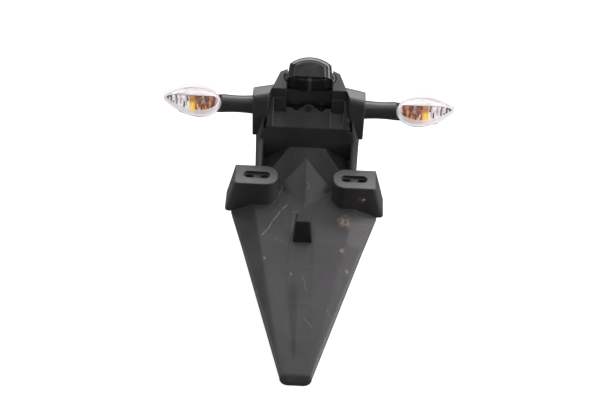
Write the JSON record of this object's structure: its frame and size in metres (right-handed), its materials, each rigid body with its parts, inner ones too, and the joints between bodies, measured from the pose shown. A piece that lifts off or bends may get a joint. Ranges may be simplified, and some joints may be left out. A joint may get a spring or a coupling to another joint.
{
  "type": "motorbike tail tidy",
  "caption": "Motorbike tail tidy: kinked rear fender with plate bosses, plate lamp and stalk indicators on a moulded carrier.",
  "frame": {"origin": "centre of the bolt pattern on the bike-side mounting face", "axes": "+X to the right as seen from behind the bike, +Y along the fender to the bike, +Z square off the plate bosses' faces"},
  "size_m": [0.362, 0.35, 0.2264],
  "materials": {
    "fender_plastic": "moulded satin, scuffed",
    "carrier_plastic": "moulded satin",
    "buffer_rubber": "matt",
    "hood_plastic": "gloss",
    "clear_lens": "clear moulded",
    "gasket_rubber": "foam",
    "socket_plastic": "matt",
    "bulb_glass": "clear",
    "amber_glass": "amber",
    "zinc_steel": "zinc plated",
    "stalk_plastic": "satin",
    "shell_plastic": "gloss",
    "reflector_chrome": "vacuum plated, fluted"
  },
  "bodies": {
    "root": {"cover_screws": "zinc_steel", "inner_carrier": "carrier_plastic", "lamp_bulb": "bulb_glass", "lamp_gasket": "gasket_rubber", "lamp_hood": "hood_plastic", "lamp_lens": "clear_lens", "lamp_screws": "zinc_steel", "lamp_socket": "socket_plastic", "lamp_tab_screw": "zinc_steel", "left_back_shell": "shell_plastic", "left_bulb": "amber_glass", "left_bulb_socket": "socket_plastic", "left_lens": "clear_lens", "left_nut": "zinc_steel", "left_reflector": "reflector_chrome", "left_retainer": "zinc_steel", "left_stalk": "stalk_plastic", "mount_collars": "zinc_steel", "plate_buffer": "buffer_rubber", "rear_fender": "fender_plastic", "right_back_shell": "shell_plastic", "right_bulb": "amber_glass", "right_bulb_socket": "socket_plastic", "right_lens": "clear_lens", "right_nut": "zinc_steel", "right_reflector": "reflector_chrome", "right_retainer": "zinc_steel", "right_stalk": "stalk_plastic", "wire_grommet": "gasket_rubber"}
  },
  "joints": []
}
